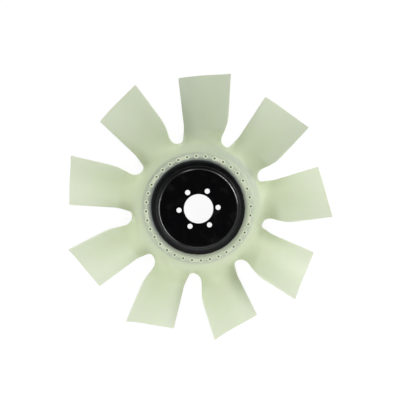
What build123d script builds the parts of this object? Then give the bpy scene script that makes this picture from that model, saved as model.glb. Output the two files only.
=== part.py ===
from build123d import *
from math import asin, atan2, cos, degrees, exp, hypot, radians, sin, sqrt
import os

# Axial fan impeller: nine nylon blades and their ring, moulded in one shot round a pressed steel hub disc.
# Millimetres. +Z is the spin axis, out of the face that seats on the drive flange, and the side that shows.
# The origin is the centre of the pilot bore on that face. The middle line of the first blade is +Y.

# Steel hub disc
pilot_bore_d = 60.0
bolt_circle_d = 80.0
bolt_hole_d = 10.5
bolt_count = 6
bolt_phase = 4.0
plate = 3.0
hub_face_r = 78.0
hub_step = 9.0
step_run = 6.5
step_bend_r = 4.0
disc_r = 112.0

# Nylon ring round the rim of the disc
ring_edge_r = 94.0
ring_edge_lip = 0.4
shoulder_r = 102.5
shoulder_round = 2.0
band_r = 112.0
band_z = -1.5
band_round = 0.8
band_foot_r = 114.4
ring_outer_r = 118.0
ring_back = 5.0
ring_back_round = 2.0

# Bosses on the band: each stands on a nylon plug that fills a lock hole in the disc
boss_circle_r = 107.0
boss_count = 36
boss_phase = 2.65
boss_d = 9.4
boss_height = 2.3
boss_edge = 0.5
pin_hole_d = 3.6
pin_hole_depth = 5.5
lock_hole_d = 6.0
rib_width = 2.0
rib_height = 0.9
gate_width = 7.5
gate_height = 1.3

# Sheet of nylon that makes the skirt and the blades
blade_count = 9
row_count = 3
tip_r = 270.0
sheet_at_ring = 4.6
sheet_at_tip = 3.0
sheet_round = 1.2
skirt_r = 114.0
skirt_z = -7.5
skirt_depth = 20.0
skirt_run = 31.0
rise_start_r = 124.0
rise_end_r = 164.0
roll_root_turn = 16.0
roll_turn = 18.5
roll_root_run = 22.0

# Edges of a blade at two stations: across the blade (x), out from the axis (y) and height (z), mid sheet
root_y, end_y = 170.0, 265.0
near_root_x, near_end_x = 56.5, 61.5
far_root_x, far_end_x = -29.7, -40.9
near_root_z, near_end_z = 24.5, 22.5
far_root_z, far_end_z = -29.6, -31.2
camber_root, camber_end = 10.0, 12.5

# Gap between two blades: where it lies, clockwise from the blade's line, and the shape of its bottom
gap_turn = 24.0
gap_bottom_r = 138.3
gap_near_side = 16.7
gap_far_side = 6.4
gap_far_bend_y = 167.5
gap_rounds = [75.0, 15.0, 9.0, 60.0]

# How far the sheet is made past its ends before it is trimmed, and where its profiles stand
sheet_under_band = 0.5
sheet_past_tip = 4.0
gap_past_tip = 10.0
blade_past_edge = 3.0
trim_height = 70.0
profile_shares = [0, 0.035, 0.1, 0.17, 0.24, 0.31, 0.4, 0.55, 0.76, 1]
profile_count = 24
slope_step = 0.5
closeness = 0.01

blade_pitch = 360 / blade_count
valley_turn = blade_pitch + degrees(atan2(far_root_x, root_y))
boss_pitch = 360 / boss_count
gate_phase = boss_phase + 2 * boss_pitch
rim_top = -hub_step
rim_bottom = rim_top - plate
ring_bottom = rim_bottom - ring_back
sheet_start_r = band_r + sheet_under_band
sheet_end_r = tip_r + sheet_past_tip
gap_end_y = tip_r + gap_past_tip


def between(start, end, share):
    """The value a share of the way from start to end."""
    return start + (end - start) * share


def ease(value):
    """A smooth climb from 0 to 1 as the value goes from 0 to 1, level at both ends."""
    value = min(max(value, 0), 1)
    return value * value * (3 - 2 * value)


def near_edge(y):
    """Across and height of the edge that stands nearest to the viewer, y out from the axis."""
    share = (y - root_y) / (end_y - root_y)
    return between(near_root_x, near_end_x, share), between(near_root_z, near_end_z, share)


def far_edge(y):
    """Across and height of the edge that lies lowest, y out from the axis."""
    share = (y - root_y) / (end_y - root_y)
    return between(far_root_x, far_end_x, share), between(far_root_z, far_end_z, share)


def blade_height(x, y):
    """Height of the cambered blade: an arc from edge to edge, hollow on the side that shows."""
    near_x, near_z = near_edge(y)
    far_x, far_z = far_edge(y)
    camber = between(camber_root, camber_end, (y - root_y) / (end_y - root_y))
    chord = hypot(near_x - far_x, near_z - far_z)
    pitch = atan2(near_z - far_z, near_x - far_x)
    radius = (chord * chord / 4 + camber * camber) / (2 * camber)
    centre_x = (far_x + near_x) / 2 - (radius - camber) * sin(pitch)
    centre_z = (far_z + near_z) / 2 + (radius - camber) * cos(pitch)
    on_arc = min(x, near_x + blade_past_edge) - centre_x
    return centre_z - sqrt(radius * radius - on_arc * on_arc)


def skirt_height(r):
    """Height of the skirt, which falls away from the ring like the bell of a trumpet."""
    return skirt_z - skirt_depth * (1 - exp((skirt_r - r) / skirt_run))


def sheet_height(r, turn):
    """Height of mid sheet at radius r, turn degrees clockwise from the blade's line."""
    if turn < valley_turn - blade_pitch:
        turn = turn + blade_pitch
    past_root = min(max((r - gap_bottom_r) / roll_root_run, 0), 1)
    roll_from = min(degrees(asin(near_edge(r)[0] / r)), between(roll_root_turn, roll_turn, past_root))
    roll = ease((turn - roll_from) / (valley_turn - roll_from))
    blade = blade_height(r * sin(radians(turn)), r * cos(radians(turn)))
    if roll > 0:
        next_turn = radians(turn - blade_pitch)
        blade = between(blade, blade_height(r * sin(next_turn), r * cos(next_turn)), roll)
    rise = ease((r - rise_start_r) / (rise_end_r - rise_start_r))
    return between(skirt_height(r), blade, rise)


def sheet_wall(r, turn):
    """Heights of the front and the back of the sheet, whose wall is measured square to its slope."""
    step_turn = degrees(slope_step / r)
    out = (sheet_height(r + slope_step, turn) - sheet_height(r - slope_step, turn)) / (2 * slope_step)
    across = (sheet_height(r, turn + step_turn) - sheet_height(r, turn - step_turn)) / (2 * slope_step)
    thick = between(sheet_at_ring, sheet_at_tip, (r - skirt_r) / (tip_r - skirt_r))
    middle = sheet_height(r, turn)
    half = thick / 2 * sqrt(1 + out * out + across * across)
    return middle + half, middle - half


def radial_plane(turn):
    """Plane through the axis, turn degrees clockwise from the blade's line: x is the radius, y is the height."""
    out = Vector(sin(radians(turn)), cos(radians(turn)), 0)
    return Plane(origin=(0, 0, 0), x_dir=out, z_dir=out.cross(Vector(0, 0, 1)))


def gap_plane(turn):
    """Level plane below everything, whose y points out along the middle of the gap at turn."""
    return Plane(
        origin=(0, 0, -trim_height),
        x_dir=(cos(radians(turn)), -sin(radians(turn)), 0),
        z_dir=(0, 0, 1),
    )


def is_gap_edge(edge):
    """Whether an edge of the sheet lies along the gap, between the ring and the tips."""
    middle = edge @ 0.5
    turn = degrees(atan2(middle.X, middle.Y))
    inside_tip = ring_outer_r < hypot(middle.X, middle.Y) < tip_r - closeness
    return inside_tip and closeness < turn < blade_pitch - closeness


def seen_from_gap(x, y, turn):
    """A point of a blade, turn degrees clockwise from the gap, in the axes of the gap."""
    turn = radians(turn)
    return x * cos(turn) + y * sin(turn), y * cos(turn) - x * sin(turn)


# Hub disc: one pressed plate, raised in the middle, with its rim punched so that the nylon locks in it
with BuildPart() as steel_hub_disc:
    with BuildSketch(Plane.XZ):
        with BuildLine():
            top = FilletPolyline(
                (pilot_bore_d / 2, 0),
                (hub_face_r, 0),
                (hub_face_r + step_run, rim_top),
                (disc_r, rim_top),
                radius=step_bend_r,
            )
            offset(top, amount=plate, side=Side.RIGHT)
        make_face()
    revolve(axis=Axis.Z)
    with BuildSketch(Plane.XY.offset(rim_bottom)):
        with PolarLocations(boss_circle_r, boss_count, start_angle=boss_phase):
            Circle(lock_hole_d / 2)
    extrude(amount=plate, mode=Mode.SUBTRACT)
    with BuildSketch(Plane.XY.offset(-plate)):
        with PolarLocations(bolt_circle_d / 2, bolt_count, start_angle=bolt_phase):
            Circle(bolt_hole_d / 2)
    extrude(amount=plate, mode=Mode.SUBTRACT)

steel_hub_disc.part.label = "steel_hub_disc"

# One gap with the halves of its two blades: profiles in planes through the axis, lofted from blade to blade
profile_radii = [between(sheet_start_r, sheet_end_r, share) for share in profile_shares]
profile_turns = [blade_pitch * step / profile_count for step in range(profile_count + 1)]
gap_outline = [
    seen_from_gap(near_edge(gap_end_y)[0], gap_end_y, -gap_turn),
    seen_from_gap(near_root_x, root_y, -gap_turn),
    (-gap_near_side, gap_bottom_r),
    (gap_far_side, gap_bottom_r),
    seen_from_gap(far_edge(gap_far_bend_y)[0], gap_far_bend_y, blade_pitch - gap_turn),
    seen_from_gap(far_edge(gap_end_y)[0], gap_end_y, blade_pitch - gap_turn),
]

with BuildPart() as blade_sheet:
    for turn in profile_turns:
        walls = [sheet_wall(r, turn) for r in profile_radii]
        with BuildSketch(radial_plane(turn)):
            with BuildLine():
                front = Spline(*[(r, wall[0]) for r, wall in zip(profile_radii, walls)])
                back = Spline(*[(r, wall[1]) for r, wall in zip(profile_radii, walls)])
                Line(front @ 0, back @ 0)
                Line(front @ 1, back @ 1)
            make_face()
    loft()
    with BuildSketch(Plane.XY.offset(-trim_height)):
        Circle(tip_r)
    extrude(amount=2 * trim_height, mode=Mode.INTERSECT)
    with BuildSketch(gap_plane(gap_turn)):
        with BuildLine():
            FilletPolyline(*gap_outline, radius=gap_rounds)
            Line(gap_outline[-1], gap_outline[0])
        make_face()
    extrude(amount=2 * trim_height, mode=Mode.SUBTRACT)
    skins = blade_sheet.faces().sort_by(SortBy.AREA)[-2:]
    fillet(skins.edges().filter_by(is_gap_edge), radius=sheet_round)

# Three of them in a row, so that the ring takes three such rows
with BuildPart() as blade_row:
    with PolarLocations(0, row_count, angular_range=row_count * blade_pitch):
        add(blade_sheet.part)

# Blade ring: the ring is turned, the disc takes its own place in it, and the blades are set round it
with BuildPart() as nylon_blade_ring:
    with BuildSketch(Plane.XZ):
        with BuildLine():
            FilletPolyline(
                (ring_edge_r, ring_bottom),
                (ring_edge_r, rim_top + ring_edge_lip),
                (shoulder_r, band_z),
                (band_r, band_z),
                (band_foot_r, skirt_height(band_foot_r)),
                (ring_outer_r, skirt_height(ring_outer_r)),
                (ring_outer_r, ring_bottom),
                close=True,
                radius=[ring_back_round, 0, shoulder_round, band_round, 0, 0, ring_back_round],
            )
        make_face()
    revolve(axis=Axis.Z)
    add(steel_hub_disc.part, mode=Mode.SUBTRACT)
    with BuildSketch(Plane.XY.offset(band_z)):
        Circle(boss_circle_r + rib_width / 2)
        Circle(boss_circle_r - rib_width / 2, mode=Mode.SUBTRACT)
    extrude(amount=rib_height)
    gate_line = CenterArc((0, 0), boss_circle_r, gate_phase, boss_pitch, mode=Mode.PRIVATE)
    with BuildSketch(Plane.XY.offset(band_z)):
        with PolarLocations(0, blade_count):
            SlotArc(gate_line, gate_width)
    extrude(amount=gate_height)
    with BuildSketch(Plane.XY.offset(band_z)):
        with PolarLocations(boss_circle_r, boss_count, start_angle=boss_phase):
            Circle(boss_d / 2)
    extrude(amount=boss_height)
    boss_tops = nylon_blade_ring.faces().sort_by(Axis.Z)[-boss_count:]
    chamfer(boss_tops.edges(), length=boss_edge)
    with BuildSketch(Plane.XY.offset(band_z + boss_height)):
        with PolarLocations(boss_circle_r, boss_count, start_angle=boss_phase):
            Circle(pin_hole_d / 2)
    extrude(amount=-pin_hole_depth, mode=Mode.SUBTRACT)
    with PolarLocations(0, blade_count // row_count):
        add(blade_row.part)

nylon_blade_ring.part.label = "nylon_blade_ring"

os.makedirs("parts", exist_ok=True)
export_step(steel_hub_disc.part, "parts/steel_hub_disc.step")
export_step(nylon_blade_ring.part, "parts/nylon_blade_ring.step")
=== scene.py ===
# %% [markdown]
# # Axial fan impeller
# Nine scooped blades, the skirt that joins them and the ring in the middle are one nylon moulding. It was
# shot round the rim of a pressed steel disc, painted gloss black, that bolts to the drive. This lesson
# dresses the imported CAD model: it makes the pieces again from their sizes, with fine meshes, moulded edges
# and finishes, some of whose colours hold painted light and shade.

# %% The imported model and its box
from math import acos, atan2, ceil, cos, degrees, pi, radians, sin, tan
import bmesh
import bpy
import numpy as np
from mathutils import Matrix, Vector
from mathutils.geometry import delaunay_2d_cdt


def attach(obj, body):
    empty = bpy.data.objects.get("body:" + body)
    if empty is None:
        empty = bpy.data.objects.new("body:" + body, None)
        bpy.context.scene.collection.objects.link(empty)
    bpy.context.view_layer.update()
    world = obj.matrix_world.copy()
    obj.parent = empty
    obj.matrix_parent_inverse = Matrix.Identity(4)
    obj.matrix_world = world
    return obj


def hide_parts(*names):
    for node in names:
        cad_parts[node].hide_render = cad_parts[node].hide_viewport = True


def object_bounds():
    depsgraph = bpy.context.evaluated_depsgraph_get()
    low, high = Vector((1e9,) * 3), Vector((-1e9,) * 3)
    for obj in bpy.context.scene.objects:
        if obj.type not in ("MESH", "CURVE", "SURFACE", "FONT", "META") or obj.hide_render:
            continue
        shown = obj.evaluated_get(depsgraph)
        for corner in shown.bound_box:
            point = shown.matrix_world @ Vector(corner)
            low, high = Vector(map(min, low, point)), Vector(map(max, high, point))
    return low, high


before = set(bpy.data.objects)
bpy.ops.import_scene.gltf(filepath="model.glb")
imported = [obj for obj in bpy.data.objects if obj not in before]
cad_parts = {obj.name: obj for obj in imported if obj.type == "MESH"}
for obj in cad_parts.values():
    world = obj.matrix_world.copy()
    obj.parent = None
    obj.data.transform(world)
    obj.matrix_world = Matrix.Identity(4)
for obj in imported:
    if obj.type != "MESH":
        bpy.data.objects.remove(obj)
cad_low, cad_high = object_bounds()
mm = 0.001
print("CAD box in mm:", [round(side / mm, 1) for side in cad_high - cad_low])

# %% [markdown]
# ## Camera
# The picture was taken from almost on the axis, a little above it, about 0.77 m away. The camera is placed
# from that distance and tilt, and not by eye, so that each rim falls where the photograph has it.

# %% Camera on the photograph's line of sight
frame_width = 816.4 * mm
camera_distance = 765.4 * mm
camera_tilt = radians(5.2)
camera_swing = radians(2.07)
axis_pixel = (198.62, 208.85)
image_pixels = 400

turned_by = Vector((camera_tilt, camera_swing, 0))
to_camera = Matrix.Rotation(turned_by.length, 3, turned_by.normalized())
camera_data = bpy.data.cameras.new("photo_camera")
camera_data.sensor_width = 36
camera_data.lens = camera_data.sensor_width * camera_distance / frame_width
camera_data.shift_x = (image_pixels / 2 - axis_pixel[0]) / image_pixels
camera_data.shift_y = (axis_pixel[1] - image_pixels / 2) / image_pixels
camera = bpy.data.objects.new("photo_camera", camera_data)
camera.matrix_world = to_camera.transposed().to_4x4() @ Matrix.Translation((0, 0, camera_distance))
bpy.context.scene.collection.objects.link(camera)
bpy.context.scene.camera = camera
print("Lens in mm:", round(camera_data.lens, 1))

# %% [markdown]
# ## Sums that become nodes
# Shaders and Geometry Nodes both do their sums in Math nodes, which are slow to wire by hand. A small
# class holds one output socket and answers to +, -, * and /, so a rule is written as a line of Python and
# turns into nodes.


# %% A graph, and the wires that its sums are made of
class Wire:
    """A number that flows between nodes."""

    def __init__(self, graph, socket):
        self.graph = graph
        self.socket = socket

    def math(self, operation, *others):
        return self.graph.wire("ShaderNodeMath", {"operation": operation}, dict(enumerate((self,) + others)))

    def __add__(self, other):
        return self.math("ADD", other)

    __radd__ = __add__

    def __sub__(self, other):
        return self.math("SUBTRACT", other)

    def __rsub__(self, other):
        return self.math("MULTIPLY_ADD", -1, other)

    def __mul__(self, other):
        return self.math("MULTIPLY", other)

    __rmul__ = __mul__

    def __truediv__(self, other):
        return self.math("DIVIDE", other)

    def __rtruediv__(self, other):
        return self.math("POWER", -1) * other

    def __pow__(self, other):
        return self.math("POWER", other)


class Graph:
    """A node tree in which nodes are added by type, settings and sockets."""

    def __init__(self, tree):
        self.tree = tree

    def node(self, kind, settings=None, sockets=None):
        """Adds a node. A socket is named by its label, its identifier or its number."""
        node = self.tree.nodes.new(kind)
        for name, value in (settings or {}).items():
            setattr(node, name, value)
        for name, value in (sockets or {}).items():
            socket = self.find(node.inputs, name)
            if isinstance(value, Wire):
                self.tree.links.new(value.socket, socket)
            else:
                socket.default_value = value
        return node

    def wire(self, kind, settings=None, sockets=None, output=0):
        """Adds a node and returns one of its outputs."""
        node = self.node(kind, settings, sockets)
        return Wire(self, self.find(node.outputs, output))

    def find(self, sockets, name):
        """A socket by its number, or one in use by its label or identifier."""
        if isinstance(name, int):
            return sockets[name]
        in_use = [socket for socket in sockets if socket.enabled]
        return next(socket for socket in in_use if name in (socket.identifier, socket.name))


# %% [markdown]
# ## The rule of the sheet
# The CAD model gives the sheet one height for each place in plan. Near the ring it is a skirt that falls
# away like the bell of a trumpet. Further out each blade is an arc, hollow on the side that shows, and
# beyond its near edge the surface rolls down to the next blade. The same rule is written here once, as
# wires. The lines of its two edges take plain numbers as well, so the outline in plan and the heights
# agree.

# %% Sizes of the sheet and circle of the bosses, in mm and degrees
blade_count = 9
blade_pitch = 360 / blade_count
tip_r = 270.0
root_y, end_y = 170.0, 265.0
near_root_x, near_end_x = 56.5, 61.5
far_root_x, far_end_x = -29.7, -40.9
near_root_z, near_end_z = 24.5, 22.5
far_root_z, far_end_z = -29.6, -31.2
camber_root, camber_end = 10.0, 12.5
beyond_edge = 3.0
skirt_r, skirt_z, skirt_depth, skirt_run = 114.0, -7.5, 20.0, 31.0
rise_start_r, rise_end_r = 124.0, 164.0
roll_root_turn, roll_turn, roll_root_run = 16.0, 18.5, 22.0
gap_turn, gap_bottom_r, gap_near_side, gap_far_side, gap_far_bend_y = 24.0, 138.3, 16.7, 6.4, 167.5
gap_rounds = [75.0, 15.0, 9.0, 60.0]
valley_turn = blade_pitch + degrees(atan2(far_root_x, root_y))
boss_circle_r, boss_count, boss_phase = 107.0, 36, 2.65


# %% The rule
def between(start, end, share):
    """The value a share of the way from start to end."""
    return start + (end - start) * share


def at_most(value, limit):
    return value.math("MINIMUM", limit)


def held(value):
    """The value, held between 0 and 1."""
    return value.math("MINIMUM", 1).math("MAXIMUM", 0)


def ease(value):
    """A smooth climb from 0 to 1."""
    share = held(value)
    return share * share * (share * -2 + 3)


def near_edge(y):
    """Across and height of the edge that stands nearest to the viewer."""
    share = (y - root_y) / (end_y - root_y)
    return between(near_root_x, near_end_x, share), between(near_root_z, near_end_z, share)


def far_edge(y):
    """Across and height of the edge that lies lowest."""
    share = (y - root_y) / (end_y - root_y)
    return between(far_root_x, far_end_x, share), between(far_root_z, far_end_z, share)


def blade_height(x, y):
    """Height of the arc of a blade, x across it and y out from the axis."""
    near_x, near_z = near_edge(y)
    far_x, far_z = far_edge(y)
    camber = between(camber_root, camber_end, (y - root_y) / (end_y - root_y))
    run, rise = near_x - far_x, near_z - far_z
    chord = (run * run + rise * rise) ** 0.5
    radius = (chord * chord * 0.25 + camber * camber) / (camber * 2)
    centre_x = (far_x + near_x) * 0.5 - (radius - camber) * rise / chord
    centre_z = (far_z + near_z) * 0.5 + (radius - camber) * run / chord
    on_arc = at_most(x, near_x + beyond_edge) - centre_x
    return centre_z - (radius * radius - on_arc * on_arc) ** 0.5


def sheet_height(r, turn):
    """Height of mid sheet, turn degrees clockwise from the blade's line. Takes wires."""
    past_root = held((r - gap_bottom_r) / roll_root_run)
    edge_turn = (near_edge(r)[0] / r).math("ARCSINE").math("DEGREES")
    roll_from = at_most(edge_turn, between(roll_root_turn, roll_turn, past_root))
    roll = ease((turn - roll_from) / (roll_from * -1 + valley_turn))
    angle = turn.math("RADIANS")
    next_angle = (turn - blade_pitch).math("RADIANS")
    blade = blade_height(r * angle.math("SINE"), r * angle.math("COSINE"))
    next_blade = blade_height(r * next_angle.math("SINE"), r * next_angle.math("COSINE"))
    skirt = ((r * -1 + skirt_r) / skirt_run).math("EXPONENT") * skirt_depth + (skirt_z - skirt_depth)
    rise = ease((r - rise_start_r) / (rise_end_r - rise_start_r))
    return between(skirt, between(blade, next_blade, roll), rise)


# %% [markdown]
# ## Trees of Geometry Nodes
# A tree takes a seed mesh and named sizes, and gives back the finished shape. The helper that runs one
# sets the inputs by their identifiers, keeps the evaluated result as a plain mesh and takes the modifier
# off again, so nothing is left live.


# %% Making and running a tree
def new_tree(name, inputs, outputs=("Geometry",)):
    """An empty tree with named inputs and outputs. One that gives geometry takes geometry too."""
    tree = bpy.data.node_groups.new(name, "GeometryNodeTree")
    for output in outputs:
        kind = "NodeSocketGeometry" if output == "Geometry" else "NodeSocketFloat"
        tree.interface.new_socket(output, in_out="OUTPUT", socket_type=kind)
        if output == "Geometry":
            tree.interface.new_socket(output, in_out="INPUT", socket_type=kind)
    for label, kind in inputs.items():
        tree.interface.new_socket(label, in_out="INPUT", socket_type=kind)
    graph = Graph(tree)
    source = graph.node("NodeGroupInput")
    wires = {socket.name: Wire(graph, socket) for socket in source.outputs if socket.name}
    return tree, graph, wires


def keep_result(piece, modifier):
    """Keeps what the modifier makes as the piece's own mesh."""
    shown = piece.evaluated_get(bpy.context.evaluated_depsgraph_get())
    mesh = bpy.data.meshes.new_from_object(shown)
    piece.modifiers.remove(modifier)
    piece.data = mesh
    print(piece.name, "has", len(mesh.polygons), "faces")


def grow(seed, tree, values):
    """Runs a tree on a seed object and leaves the result in it as a plain mesh."""
    modifier = seed.modifiers.new(tree.name, "NODES")
    modifier.node_group = tree
    for item in tree.interface.items_tree:
        if item.in_out == "INPUT" and item.name in values:
            modifier[item.identifier] = values[item.name]
    keep_result(seed, modifier)


# %% [markdown]
# ## The sheet in plan
# Seen along the axis, one ninth of the sheet reaches from the middle of one blade to the middle of the
# next, with the gap between them. Its outline is drawn as straight runs with rounded corners. Just inside
# it lie a few parallel lines for the rounded edge, and the rest is filled with even points that are joined
# by triangles.


# %% Outlines with rounded corners
def rounded_path(corners, radii, step, arc_step=10):
    """Points along runs between corners, each corner rounded by its radius."""
    corners = [Vector(corner) for corner in corners]
    marks = [corners[0]]
    for before, corner, after, radius in zip(corners, corners[1:], corners[2:], radii):
        back, ahead = (before - corner).normalized(), (after - corner).normalized()
        opening = acos(max(-1, min(1, back.dot(ahead))))
        if radius == 0 or pi - opening < 0.001:
            marks.append(corner)
            continue
        centre = corner + (back + ahead).normalized() * radius / sin(opening / 2)
        start = corner + back * radius / tan(opening / 2) - centre
        swing = start.angle_signed(corner + ahead * radius / tan(opening / 2) - centre)
        count = max(2, ceil(abs(degrees(swing)) / arc_step))
        for index in range(count + 1):
            angle = -swing * index / count
            marks.append(centre + Vector((
                start.x * cos(angle) - start.y * sin(angle),
                start.x * sin(angle) + start.y * cos(angle),
            )))
    marks.append(corners[-1])
    points = [marks[0]]
    for start, end in zip(marks, marks[1:]):
        count = max(1, ceil((end - start).length / step))
        points += [start.lerp(end, index / count) for index in range(1, count + 1)]
    return np.array(points)


def moved_in(path, distance, first_way, last_way):
    """The path moved to its right by a distance. The ways say where its two ends go."""
    along = np.diff(path, axis=0)
    along /= np.linalg.norm(along, axis=1)[:, None]
    right = np.column_stack((along[:, 1], -along[:, 0]))
    way = np.vstack((right[:1], right[1:] + right[:-1], right[-1:]))
    way /= np.linalg.norm(way, axis=1)[:, None]
    lean = (way[1:-1] * right[1:]).sum(axis=1)
    way[1:-1] /= lean[:, None]
    way[0], way[-1] = first_way, last_way
    return path + way * distance


# %% Corners of one gap and its two half blades
def on_circle(r, turn):
    """A point at radius r, turn degrees clockwise from +Y."""
    return r * sin(radians(turn)), r * cos(radians(turn))


def turned(x, y, turn):
    """The point turned clockwise about the axis."""
    angle = radians(turn)
    return x * cos(angle) + y * sin(angle), y * cos(angle) - x * sin(angle)


def edge_on_tip(edge):
    """How far out along an edge line the tip circle cuts it."""
    y = tip_r
    for _ in range(20):
        y = (tip_r ** 2 - edge(y)[0] ** 2) ** 0.5
    return y


def blade_outline(step):
    """The outline of the gap from the middle of one tip to the middle of the next."""
    near_tip_y, far_tip_y = edge_on_tip(near_edge), edge_on_tip(far_edge)
    near_tip = (near_edge(near_tip_y)[0], near_tip_y)
    far_tip = turned(far_edge(far_tip_y)[0], far_tip_y, blade_pitch)
    near_turn = degrees(atan2(*near_tip))
    far_turn = degrees(atan2(*far_tip))
    parts = 8
    first_arc = [on_circle(tip_r, near_turn * index / parts) for index in range(parts)]
    last_turns = [between(far_turn, blade_pitch, index / parts) for index in range(1, parts + 1)]
    last_arc = [on_circle(tip_r, turn) for turn in last_turns]
    gap = [
        (near_root_x, root_y),
        turned(-gap_near_side, gap_bottom_r, gap_turn),
        turned(gap_far_side, gap_bottom_r, gap_turn),
        turned(far_edge(gap_far_bend_y)[0], gap_far_bend_y, blade_pitch),
    ]
    corners = first_arc + [near_tip] + gap + [far_tip] + last_arc
    radii = [0] * (len(first_arc) - 1) + [tip_corner] + gap_rounds + [tip_corner] + [0] * (len(last_arc) - 1)
    return rounded_path(corners, radii, step)


# %% Filling the outline with points and triangles
tip_corner = 2.0
edge_round = 1.2
sheet_start_r = 112.5
fill_step = 3.0
fill_clear = fill_step * 0.45
edge_insets = [edge_round * (1 - cos(radians(angle))) for angle in (0, 22.5, 45, 67.5, 90)]
flat_inset = 2 * edge_round


def inside_outline(point, border, clear):
    """Whether a point lies on the sheet's side of the border, clear of it by a distance."""
    start, end = border[:-1], border[1:]
    along = end - start
    share = np.clip(((point - start) * along).sum(axis=1) / (along * along).sum(axis=1), 0, 1)
    away = point - (start + along * share[:, None])
    distance = np.hypot(away[:, 0], away[:, 1])
    nearest = int(distance.argmin())
    side = along[nearest][0] * away[nearest][1] - along[nearest][1] * away[nearest][0]
    return side < 0 and distance[nearest] > clear


def flat_sheet():
    """One ninth of the sheet in plan: points, how far each is from the edge, and faces."""
    outline = blade_outline(fill_step)
    last_way = -np.array(on_circle(1, blade_pitch))
    rings = [moved_in(outline, inset, (0, -1), last_way) for inset in edge_insets]
    root_count = ceil(sheet_start_r * radians(blade_pitch) / fill_step)
    root_turns = [blade_pitch * index / root_count for index in range(root_count, -1, -1)]
    roots = [
        np.array([on_circle(sheet_start_r + inset, turn) for turn in root_turns]) for inset in edge_insets
    ]
    points = []
    insets = []
    faces = []
    for lines in (rings, roots):
        width = len(lines[0])
        for line_number, line in enumerate(lines):
            first = len(points)
            points += [tuple(point) for point in line]
            insets += [edge_insets[line_number]] * width
            if line_number:
                above = first - width
                faces += [(above + i, first + i, first + i + 1, above + i + 1) for i in range(width - 1)]
    width = len(outline)
    tip_line = list(range(width * (len(rings) - 1), width * len(rings)))
    root_first = width * len(rings) + len(root_turns) * (len(roots) - 1)
    root_line = list(range(root_first, root_first + len(root_turns)))
    low_r, high_r = sheet_start_r + edge_round, tip_r - edge_round
    row_count = round((high_r - low_r) / fill_step)
    seams = {0: [], 1: []}
    border = rings[-1]
    for row in range(1, row_count):
        r = between(low_r, high_r, row / row_count)
        count = max(2, round(r * radians(blade_pitch) / fill_step))
        for index in range(count + 1):
            point = np.array(on_circle(r, blade_pitch * index / count))
            on_seam = index in (0, count)
            if not on_seam and not inside_outline(point, border, fill_clear):
                continue
            if on_seam:
                seams[index // count].append(len(points))
            points.append(tuple(point))
            insets.append(flat_inset)
    loop = tip_line + seams[1][::-1] + root_line + seams[0]
    edges = list(zip(loop, loop[1:] + loop[:1]))
    on_loop = set(loop)
    inner = [index for index in range(len(points)) if index in on_loop or insets[index] > edge_round]
    number = {index: place for place, index in enumerate(inner)}
    keep_inside, tolerance = 1, 0.0001
    _, _, filled, point_origins, _, face_origins = delaunay_2d_cdt(
        [Vector(points[index]) for index in inner],
        [(number[a], number[b]) for a, b in edges],
        [[number[index] for index in reversed(loop)]],
        keep_inside, tolerance, True,
    )
    back = [origin[0] for origin in point_origins]
    for face, origin in zip(filled, face_origins):
        if origin:
            faces.append(tuple(inner[back[corner]] for corner in face))
    return points, insets, faces


def new_piece(name, points, faces):
    """An object in the scene, from points in mm and faces."""
    mesh = bpy.data.meshes.new(name)
    mesh.from_pydata([Vector(point) * mm for point in points], [], faces)
    mesh.update()
    piece = bpy.data.objects.new(name, mesh)
    bpy.context.scene.collection.objects.link(piece)
    return piece


plan_points, plan_insets, plan_faces = flat_sheet()
upright = []
for face in plan_faces:
    corners = [Vector(plan_points[index]) for index in face[:3]]
    turning = (corners[1] - corners[0]).cross(corners[2] - corners[1])
    upright.append(face if turning > 0 else face[::-1])
blade_sheet = new_piece("blade_sheet", [(x, y, 0) for x, y in plan_points], upright)
inset_values = blade_sheet.data.attributes.new("inset", "FLOAT", "POINT")
inset_values.data.foreach_set("value", plan_insets)
print("One ninth in plan:", len(plan_points), "points,", len(upright), "faces")

# %% [markdown]
# ## Lifting the sheet
# The plan is lifted twice, once to the front of the wall and once to its back. The wall is measured square
# to the slope, so the tree asks the rule for the height half a millimetre to each side. Just before the
# edge the wall shrinks along a quarter circle, which closes it with a round edge. The front stays a hair
# below the top of the CAD box.

# %% The tree that gives the sheet its height and wall
height_tree, height_graph, height_in = new_tree(
    "height_of_sheet", {"Radius": "NodeSocketFloat", "Turn": "NodeSocketFloat"}, outputs=("Height",)
)
height_graph.node("NodeGroupOutput", sockets={0: sheet_height(height_in["Radius"], height_in["Turn"])})

lift_tree, lift, lift_in = new_tree("lift_sheet", {
    "Wall at the ring": "NodeSocketFloat",
    "Wall at the tip": "NodeSocketFloat",
    "Rounding of the edge": "NodeSocketFloat",
})


def height_at(r, turn):
    return lift.wire("GeometryNodeGroup", {"node_tree": height_tree}, {"Radius": r, "Turn": turn})


place = lift.node("ShaderNodeSeparateXYZ", sockets={0: lift.wire("GeometryNodeInputPosition")})
across_mm = Wire(lift, place.outputs["X"]) / mm
out_mm = Wire(lift, place.outputs["Y"]) / mm
radius_mm = (across_mm * across_mm + out_mm * out_mm) ** 0.5
turn_degrees = across_mm.math("ARCTAN2", out_mm).math("DEGREES")
reach = 0.5
turn_step = (reach / radius_mm).math("DEGREES")
slope_out = height_at(radius_mm + reach, turn_degrees) - height_at(radius_mm - reach, turn_degrees)
turn_ahead, turn_behind = turn_degrees + turn_step, turn_degrees - turn_step
slope_across = height_at(radius_mm, turn_ahead) - height_at(radius_mm, turn_behind)
steepness = (slope_out * slope_out + slope_across * slope_across + 1) ** 0.5
out_share = (radius_mm - skirt_r) / (tip_r - skirt_r)
wall = between(lift_in["Wall at the ring"], lift_in["Wall at the tip"], out_share)
inset = lift.wire("GeometryNodeInputNamedAttribute", {"data_type": "FLOAT"}, {"Name": "inset"}, "Attribute")
short_of_round = held(inset / lift_in["Rounding of the edge"]) * -1 + 1
half_wall = wall * 0.5 * steepness * (short_of_round * short_of_round * -1 + 1) ** 0.5
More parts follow.
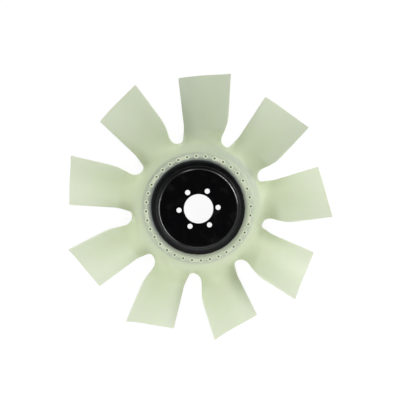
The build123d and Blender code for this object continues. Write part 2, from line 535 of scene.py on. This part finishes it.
middle = height_at(radius_mm, turn_degrees)
top_clearance = 0.02
front = at_most(middle + half_wall, cad_high.z / mm - top_clearance)
layers = []
for height in (front, middle - half_wall):
    offset = lift.wire("ShaderNodeCombineXYZ", sockets={"Z": height * mm})
    layers.append(lift.wire("GeometryNodeSetPosition", sockets={
        "Geometry": lift_in["Geometry"], "Offset": offset,
    }))
layers[1] = lift.wire("GeometryNodeFlipFaces", sockets={"Mesh": layers[1]})
join = lift.node("GeometryNodeJoinGeometry")
for layer in layers:
    lift.tree.links.new(layer.socket, join.inputs[0])
edge_seam = 0.002
closed = lift.wire("GeometryNodeMergeByDistance", sockets={
    0: Wire(lift, join.outputs[0]), "Distance": edge_seam * mm,
})
lift.node("NodeGroupOutput", sockets={0: closed})

wall_at_ring, wall_at_tip = 4.6, 3.0
grow(blade_sheet, lift_tree, {
    "Wall at the ring": wall_at_ring, "Wall at the tip": wall_at_tip, "Rounding of the edge": edge_round,
})

# %% [markdown]
# ## Set round the axis
# Blades, bosses and gate marks all repeat round the axis. One tree does it: it puts a seed on each of a
# number of points that all lie on the axis and turns each by its share of the circle. Realize Instances
# makes them solid, and merging near points closes the seams between neighbouring ninths.

# %% The tree that repeats a seed round the axis
circle_tree, circle, circle_in = new_tree("set_round_axis", {
    "Count": "NodeSocketInt",
    "First turn": "NodeSocketFloat",
    "Material": "NodeSocketMaterial",
})
spots = circle.wire("GeometryNodePoints", sockets={"Count": circle_in["Count"]})
spot_number = circle.wire("GeometryNodeInputIndex")
spot_turn = (spot_number * 360 / circle_in["Count"] + circle_in["First turn"]).math("RADIANS")
spot_angle = circle.wire("ShaderNodeCombineXYZ", sockets={"Z": spot_turn})
copies = circle.wire("GeometryNodeInstanceOnPoints", sockets={
    "Points": spots,
    "Instance": circle_in["Geometry"],
    "Rotation": spot_angle,
})
solid_copies = circle.wire("GeometryNodeRealizeInstances", sockets={0: copies})
ninths_seam = 0.01
merged = circle.wire("GeometryNodeMergeByDistance", sockets={0: solid_copies, "Distance": ninths_seam * mm})
smooth = circle.wire("GeometryNodeSetShadeSmooth", sockets={0: merged})
finished = circle.wire("GeometryNodeSetMaterial", sockets={0: smooth, "Material": circle_in["Material"]})
circle.node("NodeGroupOutput", sockets={0: finished})


def set_round(seed, material, count=1, first_turn=0.0):
    """Repeats a seed round the axis and gives it its material."""
    grow(seed, circle_tree, {"Count": count, "First turn": first_turn, "Material": material})


# %% [markdown]
# ## Finishes
# Natural nylon is a pale grey green that light soaks into, so it has subsurface scattering under a satin
# surface. Painted shade makes it deeper toward the root and along the far edges there, and greyer on the
# upper blades; painted light makes it paler along the near edges, and on the edges that face the lower left
# and the upper right. It is lighter on the tops of the band and bosses, and darker in the hollows of the
# ring with grime and painted shade. At the inner edge of the ring it thins to a film over the black steel;
# painted shade darkens and widens it toward the upper left and darkens it to the left and upper right. The
# disc wears gloss paint that has run thick on its bend in three places, and a painted sheen on its slope,
# strongest toward the lower left. All of this reads Object coordinates, so it stays on the piece from every
# side.


# %% Making a material
def new_material(name):
    material = bpy.data.materials.new(name)
    material.use_nodes = True
    material.node_tree.nodes.clear()
    return material, Graph(material.node_tree)


def color(red, green, blue):
    return (red, green, blue, 1.0)


def blend_colors(share, first, second):
    """Mixes two colours by a number from 0 to 1."""
    return share.graph.wire(
        "ShaderNodeMix",
        {"data_type": "RGBA"},
        {"Factor_Float": share, "A_Color": first, "B_Color": second},
        "Result_Color",
    )


def soft_step(value, low, high):
    """0 at low, 1 at high, smooth between. High may be the smaller of the two."""
    return value.graph.wire("ShaderNodeMapRange", {"interpolation_type": "SMOOTHSTEP"}, {
        "Value": value, "From Min": low, "From Max": high, "To Min": 0.0, "To Max": 1.0,
    })


def noise(graph, scale, detail):
    """Clouds from 0 to 1, fixed to the piece."""
    where = graph.wire("ShaderNodeTexCoord", output="Object")
    return graph.wire("ShaderNodeTexNoise", sockets={
        "Vector": where, "Scale": scale, "Detail": detail,
    }, output="Fac")


def place_in_mm(graph):
    """Side, up and height of the point that is shaded, and its distance from the axis."""
    where = graph.wire("ShaderNodeTexCoord", output="Object")
    axes = graph.node("ShaderNodeSeparateXYZ", sockets={0: where})
    side, up, height = (Wire(graph, axes.outputs[index]) / mm for index in range(3))
    return side, up, height, (side * side + up * up) ** 0.5


def toward(plan, angle):
    """1 toward an angle counter-clockwise from +X, -1 opposite it. Plan holds side, up and radius."""
    side, up, radius = plan
    return (side * cos(radians(angle)) + up * sin(radians(angle))) / radius


def lobe(plan, angle, power):
    """1 in a direction, 0 away from it. The higher the power, the narrower the lobe."""
    return toward(plan, angle).math("MAXIMUM", 0) ** power


# %% Natural nylon: where a point lies
nylon, paint = new_material("natural_nylon")
side, up, height, from_axis = place_in_mm(paint)
plan = (side, up, from_axis)
boss_step = 360 / boss_count
half_step = boss_step / 2
boss_turn = up.math("ARCTAN2", side).math("DEGREES") - (boss_phase - half_step)
past_boss = boss_turn.math("FLOORED_MODULO", boss_step)
beside_boss = from_axis * (past_boss - half_step).math("RADIANS")
beyond_boss = from_axis - boss_circle_r
from_boss = (beside_boss * beside_boss + beyond_boss * beyond_boss) ** 0.5
half_pitch = blade_pitch / 2
past_gap = (side.math("ARCTAN2", up).math("DEGREES") + half_pitch).math("FLOORED_MODULO", blade_pitch)
blade_angle = (past_gap - half_pitch).math("RADIANS")
across_blade = from_axis * blade_angle.math("SINE")
along_blade = from_axis * blade_angle.math("COSINE")
from_far_edge = across_blade - far_edge(along_blade)[0]
from_near_edge = near_edge(along_blade)[0] - across_blade
cloud = noise(paint, 9.0, 4.0)
mottle = noise(paint, 55.0, 5.0)
smudge = noise(paint, 120.0, 3.0)
grain = noise(paint, 900.0, 3.0)

# %% Natural nylon: zones by distance in mm and directions by angle, 1 inside and 0 outside
on_front = soft_step(height, -16.0, -13.5)
below_tops = soft_step(height, -0.7, -1.3)
above_band = soft_step(height, 0.1, 0.6)
on_ring_slope = below_tops * on_front
on_band = soft_step(from_axis, 100.0, 101.0) * soft_step(from_axis, 114.0, 113.0)
on_tops = (below_tops * -1 + 1) * on_band
on_skirt = soft_step(from_axis, 116.0, 119.0) * soft_step(from_axis, 140.0, 124.0)
past_bend = soft_step(from_axis, 158.0, 172.0)
at_far_root = soft_step(from_far_edge, 24.0, 2.0) * soft_step(from_axis, 128.0, 146.0)
in_pin_hole = soft_step(from_boss, 2.3, 1.9) * on_front
toward_left = lobe(plan, 200, 1.5)
toward_right = lobe(plan, 45, 3)
# The side of the ring that gets painted shade, toward the upper left.
toward_shaded_side = toward(plan, 113)
shaded_side_peak = toward_shaded_side.math("MAXIMUM", 0) ** 1.5
shaded_side = held(toward_shaded_side * 0.8 + 0.4)

# %% Natural nylon: colour, one layer over another
pale_nylon = color(0.79, 0.86, 0.67)
shaded_root_nylon = color(0.65, 0.73, 0.48)
lighter_nylon = color(0.84, 0.9, 0.74)
far_root_shade_nylon = color(0.42, 0.5, 0.26)
upper_shade_nylon = color(0.5, 0.56, 0.45)
painted_light_nylon = color(0.88, 0.95, 0.78)
ring_grime_and_shade = color(0.34, 0.4, 0.41)
film_over_paint = color(0.04, 0.055, 0.075)
paint_showing = color(0.008, 0.009, 0.01)
hole_shade = color(0.17, 0.24, 0.02)

# Painted shade: deeper toward the root of each blade, a little less on the ring, with clouds of random tone
# mixed in.
root_shade_share = soft_step(from_axis, 275.0, 150.0) * (soft_step(from_axis, 148.0, 120.0) * -0.35 + 1)
nylon_color = blend_colors(root_shade_share * 0.75 + (cloud + mottle - 1) * 0.2, pale_nylon, shaded_root_nylon)

# Painted shade along the far edge of each blade near its root.
far_root_shade_share = at_far_root * soft_step(from_axis, 220.0, 165.0) * 0.3
nylon_color = blend_colors(far_root_shade_share, nylon_color, far_root_shade_nylon)

# Painted light: paler along the near edge of each blade, past the bend.
near_edge_light_share = soft_step(from_near_edge, 5.0, 0.5) * 0.35 + soft_step(from_near_edge, 30.0, 4.0) * 0.2
nylon_color = blend_colors(near_edge_light_share * past_bend, nylon_color, lighter_nylon)

# Painted shade: the upper blades are greyer, most of all toward their far edges.
on_upper_blades = lobe(plan, 90, 4) * soft_step(from_axis, 115.0, 165.0)
upper_shade_share = on_upper_blades * (soft_step(from_far_edge, 65.0, 15.0) * 0.3 + 0.25)
nylon_color = blend_colors(upper_shade_share, nylon_color, upper_shade_nylon)

# Painted light: paler far edges on the blades at the lower left and paler near edges on those at the upper
# right.
lit_far_edges = lobe(plan, 210, 1) * soft_step(from_far_edge, 50.0, 5.0)
lit_near_edges = lobe(plan, 30, 1) * soft_step(from_near_edge, 50.0, 5.0)
painted_light_share = (lit_far_edges + lit_near_edges) * past_bend * 0.4
nylon_color = blend_colors(painted_light_share, nylon_color, painted_light_nylon)

# Lighter on the tops of the band and the bosses.
tops_share = on_tops * (above_band * 0.55 + 0.12)
nylon_color = blend_colors(tops_share, nylon_color, lighter_nylon)

# Grime and painted shade in the hollows round the band and bosses, darker toward the upper left, and on the
# skirt toward the upper right.
inner_grime_and_shade = soft_step(from_axis, 97.0, 103.0) * (shaded_side * 0.7 + 0.3)
outer_grime_and_shade = soft_step(from_axis, 104.0, 109.0)
grime_and_shade_falloff = soft_step(from_axis, 120.0, 111.5) * (smudge * 0.8 + 0.3)
band_grime_and_shade = inner_grime_and_shade.math("MAXIMUM", outer_grime_and_shade) * grime_and_shade_falloff * 0.48
skirt_grime_and_shade = on_skirt * toward_right * (smudge + 0.5) * 0.4
nylon_color = blend_colors((band_grime_and_shade + skirt_grime_and_shade) * on_ring_slope, nylon_color, ring_grime_and_shade)

# The film over the steel is its own colour; painted shade darkens it toward the upper left, the left and the
# upper right, and widens it toward the upper left.
film_edge = shaded_side_peak * 3.3 - toward_right * 1.2 + 96.4 + (smudge - 0.5) * 1.6
past_edge = from_axis - film_edge
film_run = shaded_side * 1.6 + toward_left * 2.0 + 6.0
film_depth = held(shaded_side * 0.2 + toward_left * 0.4 + toward_right * 0.55 + 0.45)
film_share = held(1 - past_edge / film_run) * film_depth * on_ring_slope
nylon_color = blend_colors(film_share, nylon_color, film_over_paint)
nylon_color = blend_colors(soft_step(past_edge, 0.5, -0.5) * on_front, nylon_color, paint_showing)
nylon_color = blend_colors(in_pin_hole, nylon_color, hole_shade)

# %% Natural nylon: surface
grain_bump = paint.wire("ShaderNodeBump", sockets={"Strength": 0.08, "Distance": 0.0003, "Height": grain})
nylon_shader = paint.wire("ShaderNodeBsdfPrincipled", sockets={
    "Base Color": nylon_color,
    "Roughness": cloud * 0.2 + 0.32,
    "Subsurface Weight": 0.35,
    "Subsurface Radius": (0.9, 1.0, 0.75),
    "Subsurface Scale": 0.004,
    "IOR": 1.5,
    "Normal": grain_bump,
})
paint.node("ShaderNodeOutputMaterial", sockets={"Surface": nylon_shader})
print("Nylon nodes:", len(paint.tree.nodes))

# %% Gloss black paint: zones
black_paint, coat = new_material("gloss_black_paint")
coat_side, coat_up, _, coat_radius = place_in_mm(coat)
disc_plan = (coat_side, coat_up, coat_radius)
dust = noise(coat, 40.0, 6.0)
peel = noise(coat, 600.0, 2.0)
off_pad = soft_step(coat_radius, 82.0, 85.5)
on_bend = soft_step(coat_radius, 77.5, 79.0) * soft_step(coat_radius, 84.0, 82.5)
on_slope = soft_step(coat_radius, 81.0, 82.5) * soft_step(coat_radius, 89.0, 84.0)
# The side of the slope that has no painted sheen, toward the top.
sheen_free_side = held(toward(disc_plan, 73) * 0.52 + 0.4)
left_run = lobe(disc_plan, 193, 6)
right_run = lobe(disc_plan, 38, 10)
upper_run = lobe(disc_plan, 106, 120)

# %% Gloss black paint: colour and surface
new_paint = color(0.003, 0.003, 0.0035)
dull_paint = color(0.01, 0.01, 0.01)
painted_sheen_paint = color(0.06, 0.065, 0.066)
paint_color = blend_colors(soft_step(dust, 0.5, 0.8), new_paint, dull_paint)
# Painted sheen on the slope of the disc, strongest toward the lower left and mottled by the dust.
painted_sheen = on_slope * (1 - sheen_free_side) * (dust * 0.8 + 0.4)
paint_color = blend_colors(painted_sheen, paint_color, painted_sheen_paint)
peel_height = peel * (off_pad * 0.8 + 0.2)
peel_bump = coat.wire("ShaderNodeBump", sockets={"Strength": 0.3, "Distance": 0.0004, "Height": peel_height})
run_strength = 1.6
thick_coat = held((left_run + right_run + upper_run) * run_strength) * on_bend
black_shader = coat.wire("ShaderNodeBsdfPrincipled", sockets={
    "Base Color": paint_color,
    "Roughness": off_pad * (sheen_free_side * -0.15 + 0.23) + dust * 0.1 + 0.06,
    "Specular IOR Level": 0.4,
    "Normal": peel_bump,
    "Coat Weight": thick_coat,
    "Coat Roughness": 0.05,
    "Coat IOR": 2.0,
})
coat.node("ShaderNodeOutputMaterial", sockets={"Surface": black_shader})
print("Paint nodes:", len(coat.tree.nodes))

# %% [markdown]
# ## Blades
# The lifted ninth goes round the axis nine times and becomes one skin, as the moulding is.

# %% Nine blades and their skirt
set_round(blade_sheet, nylon, blade_count)

# %% [markdown]
# ## Ring and bosses
# The ring has one profile all the way round, so that profile is swept about the axis. Its corners are
# rounded by the same helper as the outline of the blades. Each boss is turned about its own axis, with a
# blind hole left by a pin of the mould that held the steel rim in place. A rib links the bosses, and nine
# low marks on it show where the nylon was let in.


# %% Turning a profile
def turn_profile(name, profile, centre=0.0, first=0.0, last=360.0, count=360, up_z=0.0):
    """A profile of radius and height swept about an upright axis at x = centre."""
    whole = last - first == 360
    places = count if whole else count + 1
    points = []
    for index in range(places):
        angle = radians(between(first, last, index / count))
        points += [(centre + r * cos(angle), r * sin(angle), z + up_z) for r, z in profile]
    width = len(profile)
    faces = []
    for index in range(count):
        here, there = index * width, (index + 1) % places * width
        for low in range(width):
            high = (low + 1) % width
            faces.append((here + low, there + low, there + high, here + high))
    if not whole:
        faces.append(tuple(range(width))[::-1])
        faces.append(tuple(range(width * count, width * places)))
    return tidy(new_piece(name, points, faces))


def tidy(piece, distance=0.001):
    """Merges doubled points, as at a pole, and turns all faces outwards."""
    shape = bmesh.new()
    shape.from_mesh(piece.data)
    bmesh.ops.remove_doubles(shape, verts=shape.verts, dist=distance * mm)
    bmesh.ops.dissolve_degenerate(shape, edges=shape.edges, dist=distance * mm)
    bmesh.ops.recalc_face_normals(shape, faces=shape.faces)
    shape.to_mesh(piece.data)
    shape.free()
    return piece


# %% The ring
ring_edge_r, ring_edge_z, ring_seam_r = 94.0, -8.6, 100.0
shoulder_r, band_r, band_z = 102.5, 112.0, -1.5
band_foot_r, band_foot_z = 114.4, -7.76
ring_outer_r, ring_outer_z, ring_bottom = 118.0, -9.92, -17.0
ring_corners = [
    (ring_seam_r, ring_bottom), (ring_edge_r, ring_bottom), (ring_edge_r, ring_edge_z), (shoulder_r, band_z),
    (band_r, band_z), (band_foot_r, band_foot_z), (ring_outer_r, ring_outer_z), (ring_outer_r, ring_bottom),
    (ring_seam_r, ring_bottom),
]
ring_rounds = [2.0, 0, 2.0, 0.8, 0, 0.4, 2.0]
ring_path = rounded_path(ring_corners, ring_rounds, step=4)
ring = turn_profile("nylon_ring", ring_path[:-1])
set_round(ring, nylon)

# %% Bosses with their pin holes
boss_r, boss_height, boss_sunk = 4.7, 2.3, 0.6
pin_hole_r, pin_hole_depth = 1.8, 2.15
pin_hole_floor = boss_height - pin_hole_depth
boss_corners = [
    (0, pin_hole_floor), (pin_hole_r, pin_hole_floor), (pin_hole_r, boss_height), (boss_r, boss_height),
    (boss_r, -boss_sunk), (0, -boss_sunk),
]
boss_rounds = [0.2, 0.25, 0.6, 0]
boss_path = rounded_path(boss_corners, boss_rounds, step=5, arc_step=22)
boss = turn_profile("nylon_bosses", boss_path, centre=boss_circle_r, count=32, up_z=band_z)
set_round(boss, nylon, boss_count, boss_phase)


# %% Rib that links the bosses, and gate marks midway between two of them
def low_strip(width, height, rounding, sunk=0.5):
    """Profile of a strip along the circle of the bosses. Its foot is sunk in the band."""
    inner, outer = boss_circle_r - width / 2, boss_circle_r + width / 2
    corners = [
        (boss_circle_r, -sunk), (inner, -sunk), (inner, height), (outer, height), (outer, -sunk),
        (boss_circle_r, -sunk),
    ]
    return rounded_path(corners, [0, rounding, rounding, 0], step=5, arc_step=30)[:-1]


rib_width, rib_height, rib_round = 2.0, 0.9, 0.35
rib = turn_profile("boss_rib", low_strip(rib_width, rib_height, rib_round), up_z=band_z)
set_round(rib, nylon)

gate_width, gate_height, gate_round, gate_reach = 7.5, 1.3, 0.5, 5.0
gate_phase = boss_phase + 2.5 * boss_step
gate_profile = low_strip(gate_width, gate_height, gate_round)
gate = turn_profile("gate_marks", gate_profile, first=-gate_reach, last=gate_reach, count=12, up_z=band_z)
set_round(gate, nylon, blade_count, gate_phase)

# %% [markdown]
# ## Hub disc
# The disc is one pressed plate: a flat pad that bolts to the drive, a bend, and a lower rim that the nylon
# grips. Gloss paint shows every facet of a bend as a broken highlight, so the plate is turned again from a
# fine profile. The press stretches the metal over its bends, so each has a wide arc outside and a tight
# one inside. The upper bend stands 3 mm further out than in the CAD model, which is where the picture has
# it.

# %% Turning the plate
plate, pad_r, slope_r, disc_r, bore_r, rim_z = 3.0, 81.0, 86.5, 112.0, 30.0, -9.0
disc_seam_r = 61.0
under_slope = plate * tan(atan2(-rim_z, slope_r - pad_r) / 2)
disc_corners = [
    (disc_seam_r, 0), (pad_r, 0), (slope_r, rim_z), (disc_r, rim_z), (disc_r, rim_z - plate),
    (slope_r - under_slope, rim_z - plate), (pad_r - under_slope, -plate), (bore_r, -plate), (bore_r, 0),
    (disc_seam_r, 0),
]
disc_rounds = [3.5, 1.5, 0.3, 0.3, 4.5, 0.5, 0.3, 0.3]
disc_path = rounded_path(disc_corners, disc_rounds, step=4, arc_step=6)
hub_disc = turn_profile("hub_disc", disc_path[:-1])
set_round(hub_disc, black_paint)

# %% Drilling the bolt holes, with a small chamfer at each end
bolt_circle_r, bolt_r, bolt_count, bolt_phase, chamfer, drill_past = 40.0, 5.25, 6, 4.0, 0.4, 1.0
drill_r = bolt_r + chamfer + drill_past
drill_profile = [
    (0, drill_past), (drill_r, drill_past), (bolt_r, -chamfer), (bolt_r, chamfer - plate),
    (drill_r, -plate - drill_past), (0, -plate - drill_past),
]
drills = turn_profile("drills", drill_profile, centre=bolt_circle_r, count=48)
set_round(drills, black_paint, bolt_count, bolt_phase)
drilling = hub_disc.modifiers.new("drilling", "BOOLEAN")
drilling.operation = "DIFFERENCE"
drilling.object = drills
keep_result(hub_disc, drilling)
drill_slivers = 0.02
tidy(hub_disc, drill_slivers)
hub_disc.data.set_sharp_from_angle(angle=radians(30))
bpy.data.objects.remove(drills)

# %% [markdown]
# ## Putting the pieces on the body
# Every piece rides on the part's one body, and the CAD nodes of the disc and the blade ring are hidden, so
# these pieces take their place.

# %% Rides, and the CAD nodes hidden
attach(hub_disc, "root")
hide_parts("steel_hub_disc")
nylon_pieces = (blade_sheet, ring, boss, rib, gate)
for piece in nylon_pieces:
    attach(piece, "root")
    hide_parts("nylon_blade_ring")
print("Pieces of nylon:", len(nylon_pieces))

# %% [markdown]
# ## Stage
# The fan lies on a white floor under a white sky. Rays from the camera and from mirrors see the floor and
# the sky white, while other rays find them dimmer, so shadows stay and a colour renders about as it is
# written. A black card above the camera keeps the flat of the disc dark. Two long strips at the sides draw
# the bright arcs on its bend, and the square lamps light the blades.


# %% Parts of the stage
def showing_rays(graph):
    """Rays from the camera, from mirrors and through clear things, each 1 or 0."""
    path = graph.node("ShaderNodeLightPath")
    rays = ("Is Camera Ray", "Is Glossy Ray", "Is Transmission Ray")
    return [Wire(graph, path.outputs[ray]) for ray in rays]


def level_square(name, half, z, material):
    """A square that lies level at a height in mm."""
    corners = [(-half, -half, z), (half, -half, z), (half, half, z), (-half, half, z)]
    square = new_piece(name, corners, [(0, 1, 2, 3)])
    square.data.materials.append(material)
    return square


# %% Floor
floor_drop, floor_half = 0.2, 6000
glow_share, glow_strength = 0.85, 1.08
floor_material, ground = new_material("white_floor")
seen, mirrored, passed = showing_rays(ground)
shown = (seen + mirrored + passed).math("MINIMUM", 1) * glow_share
matte = ground.wire("ShaderNodeBsdfDiffuse", sockets={"Color": color(0.9, 0.9, 0.9)})
glow = ground.wire("ShaderNodeEmission", sockets={"Color": color(1, 1, 1), "Strength": glow_strength})
floor_shader = ground.wire("ShaderNodeMixShader", sockets={0: shown, 1: matte, 2: glow})
ground.node("ShaderNodeOutputMaterial", sockets={"Surface": floor_shader})
floor = level_square("floor", floor_half, cad_low.z / mm - floor_drop, floor_material)

# %% Black card
card_z, card_half = 1200, 360
card_material, card_graph = new_material("black_card")
card_matte = card_graph.wire("ShaderNodeBsdfDiffuse", sockets={"Color": color(0.01, 0.01, 0.01)})
card_graph.node("ShaderNodeOutputMaterial", sockets={"Surface": card_matte})
card = level_square("black_card", card_half, card_z, card_material)


# %% Lamps
def soft_lamp(name, place_m, length_m, width_m, watts):
    """A lamp that looks at the middle of the fan, its length level and square to the line between them."""
    lamp_data = bpy.data.lights.new(name, "AREA")
    lamp_data.shape = "RECTANGLE"
    lamp_data.size = length_m
    lamp_data.size_y = width_m
    lamp_data.energy = watts
    lamp = bpy.data.objects.new(name, lamp_data)
    aim = (-Vector(place_m)).to_track_quat("-Z", "Y").to_matrix().to_4x4()
    lamp.matrix_world = Matrix.Translation(place_m) @ aim
    bpy.context.scene.collection.objects.link(lamp)


soft_lamp("lower_lamp", (0.2, -1.9, 1.6), 1.2, 1.2, 10)
soft_lamp("lower_left_lamp", (-1.3, -1.6, 1.4), 1.0, 1.0, 6)
soft_lamp("left_strip", (-1.76, -0.37, 1.4), 1.8, 0.15, 7)
soft_lamp("right_strip", (1.5, 1.17, 1.4), 1.3, 0.15, 8.7)
soft_lamp("right_lamp", (1.8, 0.5, 1.4), 0.9, 0.9, 12.7)
soft_lamp("upper_lamp", (-0.5, 1.9, 1.5), 0.3, 0.3, 1)

# %% Sky, dimmer in mirrors toward the upper left and the bottom, where the bend of the disc shows no arc
sky_level, mirror_dip, zenith_guard = 0.44, 0.6, 0.0001
world = bpy.data.worlds.new("studio")
bpy.context.scene.world = world
world.use_nodes = True
world.node_tree.nodes.clear()
air = Graph(world.node_tree)
air_seen, air_mirrored, air_passed = showing_rays(air)
unseen = 1 - (air_seen + air_mirrored + air_passed).math("MINIMUM", 1)
sky_way = air.wire("ShaderNodeTexCoord", output="Generated")
sky_axes = air.node("ShaderNodeSeparateXYZ", sockets={0: sky_way})
sky_side, sky_up = (Wire(air, sky_axes.outputs[index]) for index in range(2))
sky_plan = (sky_side, sky_up, (sky_side * sky_side + sky_up * sky_up + zenith_guard) ** 0.5)
dimmed = held(lobe(sky_plan, 139, 8) + lobe(sky_plan, 270, 4)) * mirror_dip
sky_white = (air_seen + air_mirrored * (1 - dimmed) + air_passed).math("MINIMUM", 1)
sky_glow = air.wire("ShaderNodeBackground", sockets={
    "Color": color(1, 1, 1), "Strength": sky_white + unseen * sky_level,
})
air.node("ShaderNodeOutputWorld", sockets={"Surface": sky_glow})
bpy.context.scene.view_settings.view_transform = "Standard"
